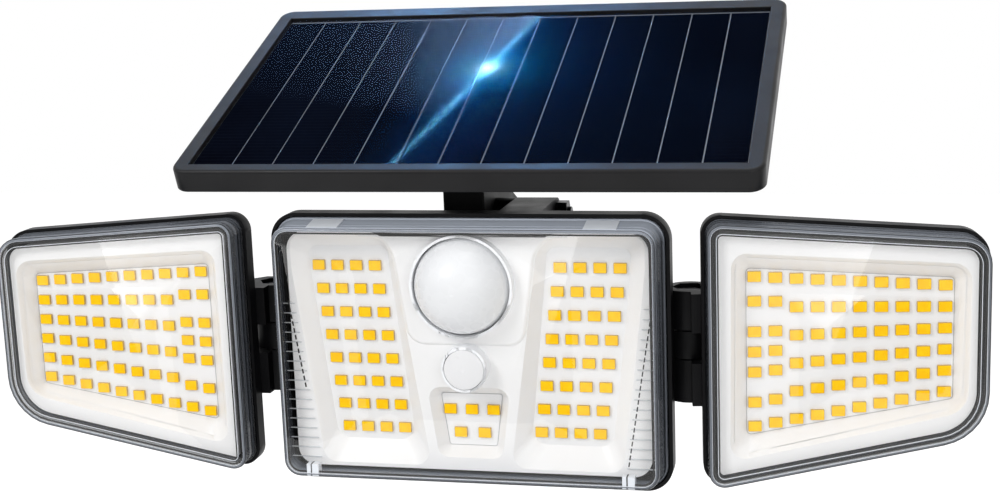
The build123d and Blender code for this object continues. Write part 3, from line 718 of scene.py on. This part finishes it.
def coverStations(cover):
    # the outer side from the foot to the rounded front edge, as (how far out, depth)
    turns = [(cover["foot"] + height, step) for height, step in coverWall["low"]]
    turns += [(cover["front"] - distance, step) for distance, step in coverWall["high"]]
    edge, steps = coverWall["round"], coverWall["roundSteps"]
    for step in range(steps + 1):
        angle = math.pi / 2 * step / steps
        turns.append((cover["front"] - edge + edge * math.sin(angle), -edge * (1 - math.cos(angle))))
    slope = coverSlope(cover)
    return [(slope * (cover["front"] - depth) + step, depth) for depth, step in turns]


def clearCover(name, body, spot, cover):
    piece = Piece(name, spot)
    outer = piece.rings([(coverPath(cover, grow), depth) for grow, depth in coverStations(cover)])
    inside = cover["front"] - cover["face"]
    inner = piece.rings([
        (coverPath(cover, cover["flare"] - cover["wall"]), cover["foot"]),
        (coverPath(cover, coverSlope(cover) * cover["face"] - cover["wall"]), inside),
    ])
    piece.band(outer[0], inner[0])
    frontHoles = [piece.ring(circlePath(*hole), cover["front"]) for hole in cover["holes"]]
    backHoles = [piece.ring(circlePath(*hole), inside) for hole in cover["holes"]]
    for front, back in zip(frontHoles, backHoles):
        piece.band(back, front, 1)
    piece.plate([outer[-1]] + frontHoles, 1)
    piece.plate([inner[-1]] + backHoles, 1)
    side = clearEdgeWithPaintedLight(name + "Side", spot, cover)
    piece.done(body, "clear_plastic", (side, materials["clear_plastic"]), (name,))


clearCover("head_clear_cover", "head", spots["head"], headCover)
clearCover("left_wing_clear_cover", "left_wing", spots["left"], wingCover)
clearCover("right_wing_clear_cover", "right_wing", spots["right"], wingCover)
print("stage: clear covers")

# the covers' small forms
ribFinish = whitePlastic("ribFinish", (0.66, 0.68, 0.71), (0.6, 0.62, 0.65), 0.25, 0.5)
# frosted white for the frosted tabs and latch bars, also used for the painted highlight lines of the mould
# steps
frostAndHighlightFinish = whitePlastic("frostAndHighlightFinish", (0.8, 0.83, 0.88), (0.72, 0.76, 0.82), 0.2, 0.5)
# near-black for painted shade: the dark mould-step lines, the dashed shadow lines by the troughs and the
# latch slots
paintedShadeFinish = rubber("paintedShadeFinish", (0.012, 0.012, 0.012), 0.5)
# fine mould steps round the front face, coloured as painted shade lines and painted highlight lines: from, to
# (inwards from the outline), finish (0 dark, 1 pale)
coverSteps = {
    "lines": ((0.12, 0.42, 0), (0.75, 1.0, 1), (1.3, 1.65, 0), (2.35, 2.5, 1), (2.7, 2.9, 0)),
    "front": 0.25,
    "back": 0.6,
    "headCount": 3,
    "wingCount": 5,
}


def steppedRim(name, body, spot, cover, count):
    piece = Piece(name, spot)
    front, back = cover["front"] - coverSteps["front"], cover["front"] - coverSteps["back"]
    for start, end, finish in coverSteps["lines"][:count]:
        outer, inner = coverPath(cover, -start), coverPath(cover, -end)
        piece.loop(((outer, back), (outer, front), (inner, front), (inner, back)), finish)
    piece.done(body, "clear_plastic", (paintedShadeFinish, frostAndHighlightFinish), smooth=False)


steppedRim("head_cover_steps", "head", spots["head"], headCover, coverSteps["headCount"])
steppedRim("left_wing_cover_steps", "left_wing", spots["left"], wingCover, coverSteps["wingCount"])
steppedRim("right_wing_cover_steps", "right_wing", spots["right"], wingCover, coverSteps["wingCount"])

coverRibs = {
    "top": 12.7,
    "bottom": -33.5,
    "pitch": 2.75,
    "edge": 51.8,
    "overlap": 0.8,
    "height": 0.16,
    "back": 3.62,
    "front": 4.1,
}
troughRim = {"side": 49.0, "bend": 23.0, "bottom": -32.7, "lean": 6.8}
# dark dashes on the cover over the rims of the side troughs: a painted shadow line
shadowDashSizes = {"back": 7.45, "front": 7.78, "width": 0.32, "dash": 1.25, "gap": 0.7}
shadowDashLines = {"left": ((-48.9, 14.3), (-45.2, -10.1)), "right": ((51.0, 12.2), (44.4, -28.9))}
coverTabs = {
    "inner": 33.6,
    "outer": 42.4,
    "back": 1.8,
    "front": 8.3,
    "sunk": 0.7,
    "proudBack": 0.06,
    "proudFront": 0.03,
}
coverLatches = {
    "inner": 42.6,
    "outer": 46.0,
    "top": -31.6,
    "bottom": -34.9,
    "bar": 1.1,
    "slot": 1.5,
    "back": 6.2,
    "front": 8.9,
    "slotDepth": 0.3,
}


def rimLine(z):
    # the outer rim of a side trough: upright above its bend, leaning inwards below it
    slant = troughRim["lean"] / (troughRim["bend"] - troughRim["bottom"])
    return troughRim["side"] - max(0.0, troughRim["bend"] - z) * slant


def coverLadder():
    ribs = Piece("head_cover_ribs", spots["grid"])
    half = coverRibs["height"] / 2
    z = coverRibs["top"]
    while z > coverRibs["bottom"]:
        for side in (-1, 1):
            left, right = sorted((side * coverRibs["edge"], side * (rimLine(z) + coverRibs["overlap"])))
            rib = box(left, right, z - half, z + half)
            ribs.block([(rib, coverRibs["back"]), (rib, coverRibs["front"])])
        z -= coverRibs["pitch"]
    ribs.done("head", "clear_plastic", (ribFinish,), smooth=False)


def coverShadowDashes():
    # painted shadow: near-black dashes along the trough rims
    shadowDashes = Piece("head_cover_shadow_dashes", spots["grid"])
    for start, end in shadowDashLines.values():
        start, end = Vector(start), Vector(end)
        way = (end - start).normalized()
        across = Vector((way.y, -way.x)) * shadowDashSizes["width"] / 2
        done = 0.0
        while done < (end - start).length:
            first = start + way * done
            last = first + way * shadowDashSizes["dash"]
            dash = [tuple(point) for point in (first - across, last - across, last + across, first + across)]
            shadowDashes.block([(dash, shadowDashSizes["back"]), (dash, shadowDashSizes["front"])])
            done += shadowDashSizes["dash"] + shadowDashSizes["gap"]
    shadowDashes.done("head", "clear_plastic", (paintedShadeFinish,), smooth=False)


def coverTopTabs():
    # frosted welding tabs let into the cover's sloping top wall
    tabs = Piece("head_cover_tabs", spots["head"])
    top = headCover["outline"][2][1]
    for side in (-1, 1):
        left, right = sorted((side * coverTabs["inner"], side * coverTabs["outer"]))
        stations = []
        for depth, proud in ((coverTabs["back"], "proudBack"), (coverTabs["front"], "proudFront")):
            wall = top + coverSlope(headCover) * (headCover["front"] - depth)
            stations.append((box(left, right, wall - coverTabs["sunk"], wall + coverTabs[proud]), depth))
        tabs.block(stations)
    tabs.done("head", "clear_plastic", (frostAndHighlightFinish,), smooth=False)


def coverBottomLatches():
    latches = Piece("head_cover_latches", spots["head"])
    detail = coverLatches
    for side in (-1, 1):
        left, right = sorted((side * detail["inner"], side * detail["outer"]))
        slotStart, slotEnd = left + detail["bar"], left + detail["slot"]
        # the slot between the bars is near-black: painted shade in the recess
        for start, end, finish in ((left, slotStart, 0), (slotStart, slotEnd, 1), (slotEnd, right, 0)):
            bar = box(start, end, detail["bottom"], detail["top"])
            front = detail["front"] - detail["slotDepth"] * finish
            latches.block([(bar, detail["back"]), (bar, front)], finish)
    latches.done("head", "clear_plastic", (frostAndHighlightFinish, paintedShadeFinish), smooth=False)


coverLadder()
coverShadowDashes()
coverTopTabs()
coverBottomLatches()
print("stage: ribs, slits, tabs and latches of the head cover")

# raised pad round the motion sensor; rim is (how far out, depth) from its foot to its top
sensorPad = {
    "corners": (
        (-15.95, 2.0),
        (15.95, 2.0),
        (20.3, 32.4),
        (29.5, 32.4),
        (29.5, 32.75),
        (-29.5, 32.75),
        (-29.5, 32.4),
        (-20.3, 32.4),
    ),
    "radii": (5.0, 5.0, 8.4, 0.1, 0.05, 0.05, 0.1, 8.4),
    "rim": ((0.3, 3.5), (-0.2, 4.15), (-0.5, 4.395), (-0.9, 4.5)),
    "hole": (0.0, 18.7, 13.5),
}


def raisedPad():
    pad = Piece("sensor_pad", spots["grid"])
    corners, radii, rim = sensorPad["corners"], sensorPad["radii"], sensorPad["rim"]
    outer = pad.rings([(roundedPath(corners, radii, grow), depth) for grow, depth in rim])
    opening = circlePath(*sensorPad["hole"])
    hole = pad.rings([(opening, rim[0][1]), (opening, rim[-1][1])])
    pad.plate([outer[-1], hole[-1]])
    pad.plate([outer[0], hole[0]])
    pad.done("head", "white_reflector", (materials["white_reflector"],))


raisedPad()

# floors of the reflectors, and the recess above each wing's floor
wingFloor = {
    "corners": ((13.8, 24.0), (67.0, 20.5), (67.0, -11.9), (13.8, -21.1)),
    "radii": (1.2, 1.2, 1.2, 1.2),
    "depth": 15.0,
}
lowerFloor = {
    "corners": ((-8.8, -12.6), (8.8, -12.6), (6.8, -27.6), (-6.8, -27.6)),
    "radii": (0.8, 0.8, 0.8, 0.8),
    "depth": 0.0,
}
wingRecess = {
    "corners": ((9.8, 28.9), (70.5, 24.8), (70.0, -14.0), (9.2, -27.0)),
    "radii": (4.0, 5.0, 7.0, 4.0),
    "depth": 19.6,
}
recessSheet = {"near": 0.1, "far": 0.5}
seamShadow = {"start": 0.02, "width": 0.18, "lift": 0.03}
# grey for the board seams, partly painted contact shadow
seamShadowFinish = rubber("seamShadowFinish", (0.36, 0.36, 0.37), 0.6)


def floorPath(floor, grow):
    return roundedPath(floor["corners"], floor["radii"], grow)


def recessWall(name, body, spot):
    # the thin sloping wall behind the recess of a wing's reflector
    wall = Piece(name, spot)
    near, far = (
        [(floorPath(floor, recessSheet[side]), floor["depth"]) for floor in (wingFloor, wingRecess)]
        for side in ("near", "far")
    )
    wall.loop(near + far[::-1])
    wall.done(body, "white_reflector", (materials["white_reflector"],))


def seamShadowLine(name, body, spot, floor):
    # the thin dark line where a board meets its reflector: a real seam, darkened with painted contact shadow
    line = Piece(name, spot)
    depth = floor["depth"] + seamShadow["lift"]
    line.rings([(floorPath(floor, -seamShadow["start"]), depth), (floorPath(floor, -seamShadow["width"]), depth)])
    line.done(body, "black_rubber", (seamShadowFinish,), smooth=False)


recessWall("left_wing_recess_wall", "left_wing", spots["left"])
recessWall("right_wing_recess_wall", "right_wing", spots["right"])
seamShadowLine("left_wing_board_seam_shadow", "left_wing", spots["left"], wingFloor)
seamShadowLine("right_wing_board_seam_shadow", "right_wing", spots["right"], wingFloor)
seamShadowLine("head_board_seam_shadow", "head", spots["grid"], lowerFloor)
print("stage: sensor pad, recess walls and board gaps")

# LED packages, one detailed package for each chip in the frame
ledPackage = {
    "size": (3.5, 2.8, 0.8),
    "corner": 0.12,
    "cornerSteps": 2,
    "chamfer": 0.08,
    "window": 0.95,  # share of the package's width and height
    "windowSlope": 0.1,
    "recess": 0.05,
    "middle": (0.5, 0.45),  # share of the width and height
    "middleRecess": 0.015,
}
packageLook = {
    "deep": (0.5, 0.3, 0.06),
    "pale": (0.62, 0.4, 0.1),
    "cloud": 500.0,
    "patches": 800.0,
    "rough": (0.35, 0.5),
}
sameCorner = 0.01  # corners closer than this are one corner


def packageBody():
    paint, look = newPaint("packageBody"), packageLook
    paint.set(
        colour=paint.mixed(paint.cloud(look["cloud"]), look["deep"], look["pale"]),
        roughness=paint.spread(paint.noise(look["patches"]), *look["rough"]),
    )
    return paint.owner


packageFinish = packageBody()


def solidMiddles(mesh):
    # the middle of each separate solid of a mesh
    merged = bmesh.new()
    merged.from_mesh(mesh)
    bmesh.ops.remove_doubles(merged, verts=merged.verts, dist=sameCorner * mm)
    merged.verts.ensure_lookup_table()
    seen = set()
    middles = []
    for start in merged.verts:
        if start.index in seen:
            continue
        stack, group = [start], []
        seen.add(start.index)
        while stack:
            vertex = stack.pop()
            group.append(vertex.co.copy())
            for edge in vertex.link_edges:
                other = edge.other_vert(vertex)
                if other.index not in seen:
                    seen.add(other.index)
                    stack.append(other)
        middles.append(sum(group, Vector()) / len(group))
    merged.free()
    return middles


def addPackage(piece, x, y, base):
    detail = ledPackage
    width, height, thickness = detail["size"]
    corner, chamfer, window, slope = (detail[key] for key in ("corner", "chamfer", "window", "windowSlope"))
    wide, high = detail["middle"]
    top = base + thickness

    def outline(across, up, radius):
        path = roundedPath(rectangle(across, up), (radius,) * 4, steps=detail["cornerSteps"])
        return [(x + a, y + b) for a, b in path]

    shell = piece.rings([
        (outline(width, height, corner), base),
        (outline(width, height, corner), top - chamfer),
        (outline(width - 2 * chamfer, height - 2 * chamfer, corner), top),
    ])
    lit = piece.rings([
        (outline(width * window, height * window, corner * 2), top),
        (outline(width * window - slope, height * window - slope, corner * 2), top - detail["recess"]),
        (outline(width * wide, height * high, corner), top - detail["middleRecess"]),
    ], 1)
    piece.band(shell[-1], lit[0])
    piece.cap(shell[0])
    piece.cap(lit[-1], 1)


def detailedChips(node, body, spot, base):
    piece = Piece(node + "_detail", spot)
    for middle in solidMiddles(nodes[node].data):
        local = middle / mm - spot.origin
        addPackage(piece, local.dot(spot.across), local.dot(spot.up), base)
    piece.done(body, "led_phosphor", (packageFinish, materials["led_phosphor"]), (node,))


detailedChips("head_led_chips", "head", spots["grid"], lowerFloor["depth"])
detailedChips("left_wing_led_chips", "left_wing", spots["left"], wingFloor["depth"])
detailedChips("right_wing_led_chips", "right_wing", spots["right"], wingFloor["depth"])
print("stage: LED packages")

# camera of the photograph: angles in degrees, place in metres, lens in millimetres
photoView = {
    "turn": 13.556,
    "drop": 11.059,
    "roll": -2.114,
    "place": (0.1095, -0.515, 0.1312),
    "lens": 58.32,
    "sensor": 36.0,
    "nearest": 0.01,
}


def photoCamera():
    camera = bpy.data.cameras.new("camera")
    camera.lens = photoView["lens"]
    camera.sensor_width = photoView["sensor"]
    camera.clip_start = photoView["nearest"]
    eye = bpy.data.objects.new("camera", camera)
    turn = Matrix.Rotation(math.radians(photoView["turn"]), 4, "Z")
    tip = Matrix.Rotation(math.radians(90 - photoView["drop"]), 4, "X")
    roll = Matrix.Rotation(math.radians(photoView["roll"]), 4, "Z")
    eye.matrix_world = Matrix.Translation(photoView["place"]) @ turn @ tip @ roll
    bpy.context.scene.collection.objects.link(eye)
    bpy.context.scene.camera = eye


photoCamera()

# studio: white surround, pale floor, soft lamps, and cards that only show in the gloss; in metres
studio = {"world": 0.56, "aim": (0.0, -0.09, 0.04)}
floorPlan = {
    "level": -0.45,
    "reach": 3.0,
    "colour": (0.8, 0.8, 0.8, 1),
    "glow": 0.55,
    "patches": 4.0,
    "rough": (0.85, 0.95),
}
lamps = {
    "key": {"place": (-0.8, -1.2, 1.05), "size": (0.6, 0.6), "power": 12.0},
    "fill": {"place": (0.9, -1.5, 0.45), "size": (0.9, 0.9), "power": 6.5},
    "top": {"place": (0.1, 0.0, 1.45), "size": (0.9, 0.6), "power": 7.0},
}


def shownRays(paint):
    # 1 for what the camera, a mirror or a clear piece shows, 0 for what lights the object
    kinds = ("Is Camera Ray", "Is Glossy Ray", "Is Transmission Ray")
    camera, glossy, through = (paint.node("ShaderNodeLightPath", {}, {}, kind) for kind in kinds)
    return camera.atLeast(glossy).atLeast(through)


def surround():
    world = bpy.data.worlds.new("surround")
    paint = Paint(world)
    background = paint.tree.nodes["Background"].inputs
    paint.plug(background["Strength"], shownRays(paint) * (1.0 - studio["world"]) + studio["world"])
    paint.plug(background["Color"], (1, 1, 1, 1))
    bpy.context.scene.world = world


def paleFloor():
    mesh = bpy.data.meshes.new("floor")
    reach = floorPlan["reach"]
    corners = [(x, y, floorPlan["level"]) for x, y in rectangle(2 * reach, 2 * reach)]
    mesh.from_pydata(corners, [], [(0, 1, 2, 3)])
    floor = bpy.data.objects.new("floor", mesh)
    bpy.context.scene.collection.objects.link(floor)
    paint = newPaint("paleFloor")
    paint.set(
        colour=floorPlan["colour"],
        roughness=paint.spread(paint.noise(floorPlan["patches"]), *floorPlan["rough"]),
        glow=(1, 1, 1, 1),
        glowStrength=shownRays(paint) * floorPlan["glow"],
    )
    mesh.materials.append(paint.owner)


def softLamp(name, place, size, power):
    light = bpy.data.lights.new(name, "AREA")
    light.shape = "RECTANGLE"
    light.size, light.size_y = size
    light.energy = power
    lamp = bpy.data.objects.new(name, light)
    lamp.location = place
    lamp.rotation_euler = (Vector(studio["aim"]) - Vector(place)).to_track_quat("-Z", "Y").to_euler()
    bpy.context.scene.collection.objects.link(lamp)


surround()
paleFloor()
for name, lamp in lamps.items():
    softLamp(name, lamp["place"], lamp["size"], lamp["power"])


def glowCard(name, spot, depth, path, reach, finish):
    # stands where the camera sees it mirrored in the plane at this depth, drawn in that plane's
    # millimetres and made larger by its reach, which is how many times as far away it stands
    eye = Vector(photoView["place"])
    middle = spot.at(0, 0, depth)
    ghost = eye - 2 * (eye - middle).dot(spot.outward) * spot.outward
    mesh = bpy.data.meshes.new(name)
    mesh.from_pydata([(x * mm, y * mm, 0) for x, y in path], [], [tuple(range(len(path)))])
    mesh.materials.append(finish)
    card = bpy.data.objects.new(name, mesh)
    bpy.context.scene.collection.objects.link(card)
    turn = Matrix((spot.across, spot.up, spot.outward)).transposed() * reach
    card.matrix_world = Matrix.Translation(ghost + (middle - ghost) * reach) @ turn.to_4x4()
    card.visible_camera = False
    card.visible_diffuse = False
    card.visible_transmission = False
    card.visible_shadow = False


def cardPaint(name):
    # a card's paint, with the place on the card in millimetres
    paint = newPaint(name)
    x, y = (paint.node("ShaderNodeSeparateXYZ", {}, {0: paint.place()}, axis) / mm for axis in "XY")
    return paint, x, y


def cardGlow(paint, gain, layers):
    total = None
    for colour, mask in layers:
        part = paint.scaled(Vector(colour) * gain, mask)
        total = part if total is None else paint.summed(total, part)
    paint.set(colour=(0, 0, 0, 1), specular=0.0, roughness=1.0, glow=total, glowStrength=1.0)
    return paint.owner


# flare on the panel: a star, the streak through it, a pale wedge to its left and a deep blue to its right
panelFlare = {
    "path": rectangle(152.1, 93.06),
    "reach": 3.5,
    "star": (-3.5, 10.1),
    "way": (0.2532, 0.9674),
    "gain": 270.0,
    "wedge": {"colour": (0.12, 0.2, 0.38), "across": 26.0, "slope": 0.014, "level": 0.45},
    "deep": {"colour": (0.002, 0.016, 0.06), "across": 24.0, "along": 60.0},
    "line": {"colour": (0.25, 0.9, 1.6), "across": 0.6, "along": 34.0},
    "glow": {"colour": (0.0, 0.09, 0.3), "across": 6.0, "along": 22.0},
    "halo": {"colour": (0.0, 0.3, 0.7), "radius": 5.0},
    "core": {"colour": (2.0, 3.2, 3.2), "radius": 1.5},
}


def panelCard():
    paint, x, y = cardPaint("panelCard")
    wayX, wayY = panelFlare["way"]
    starX, starY = panelFlare["star"]
    across = (x - starX) * wayY - (y - starY) * wayX
    along = (x - starX) * wayX + (y - starY) * wayY
    radius = (across * across + along * along) ** 0.5
    left = 1.0 - across.above(0.0)

    def streak(part):
        size = panelFlare[part]
        return across.unsigned().fallOff(size["across"]) * along.unsigned().fallOff(size["along"])

    wedge = panelFlare["wedge"]
    brighter = (along * wedge["slope"] + wedge["level"]).atLeast(0.0)
    masks = {
        "wedge": left * across.unsigned().fallOff(wedge["across"]) * brighter,
        "deep": (1.0 - left) * streak("deep"),
        "line": streak("line"),
        "glow": streak("glow"),
        "halo": radius.fallOff(panelFlare["halo"]["radius"]),
        "core": radius.fallOff(panelFlare["core"]["radius"]),
    }
    layers = [(panelFlare[part]["colour"], mask) for part, mask in masks.items()]
    return cardGlow(paint, panelFlare["gain"], layers)


# washes on the clear covers: each lies left of a slanting edge from top to bottom and fades down to low
coverFlare = {"gain": 4.2, "fade": 20.0, "reach": 3.4}
wingCard = box(2.0, 75.0, -34.0, 38.5)[::-1]
coverCards = {
    "headCard": {
        "spot": "grid",
        "depth": 9.0,
        "path": rectangle(103.0, 70.0),
        "edge": ((32.3, 32.2), (26.1, 12.0)),
        "low": -6.0,
    },
    "rightCard": {
        "spot": "right",
        "depth": 22.0,
        "path": wingCard,
        "edge": ((46.9, 33.9), (32.1, -4.3)),
        "low": -14.0,
    },
    "leftCard": {
        "spot": "left",
        "depth": 22.0,
        "path": wingCard,
        "edge": ((42.9, 30.0), (32.2, -8.2)),
        "low": -14.0,
    },
}


def coverCard(name, edge, low):
    paint, x, y = cardPaint(name)
    top, bottom = map(Vector, edge)
    way = (top - bottom).normalized()
    across = (x - top.x) * way.y - (y - top.y) * way.x
    left = 1.0 - across.above(0.0)
    rise = paint.spread(y, 0.0, 1.0, (low, top.y))
    wash = left * across.unsigned().fallOff(coverFlare["fade"]) * rise
    return cardGlow(paint, coverFlare["gain"], [((1.0, 1.0, 1.0), wash)])


glowCard("panelCard", spots["panel"], 0.0, panelFlare["path"], panelFlare["reach"], panelCard())
for name, card in coverCards.items():
    finish = coverCard(name, card["edge"], card["low"])
    glowCard(name, spots[card["spot"]], card["depth"], card["path"], coverFlare["reach"], finish)
bpy.context.scene.view_settings.view_transform = "Standard"
print("stage: studio and camera")
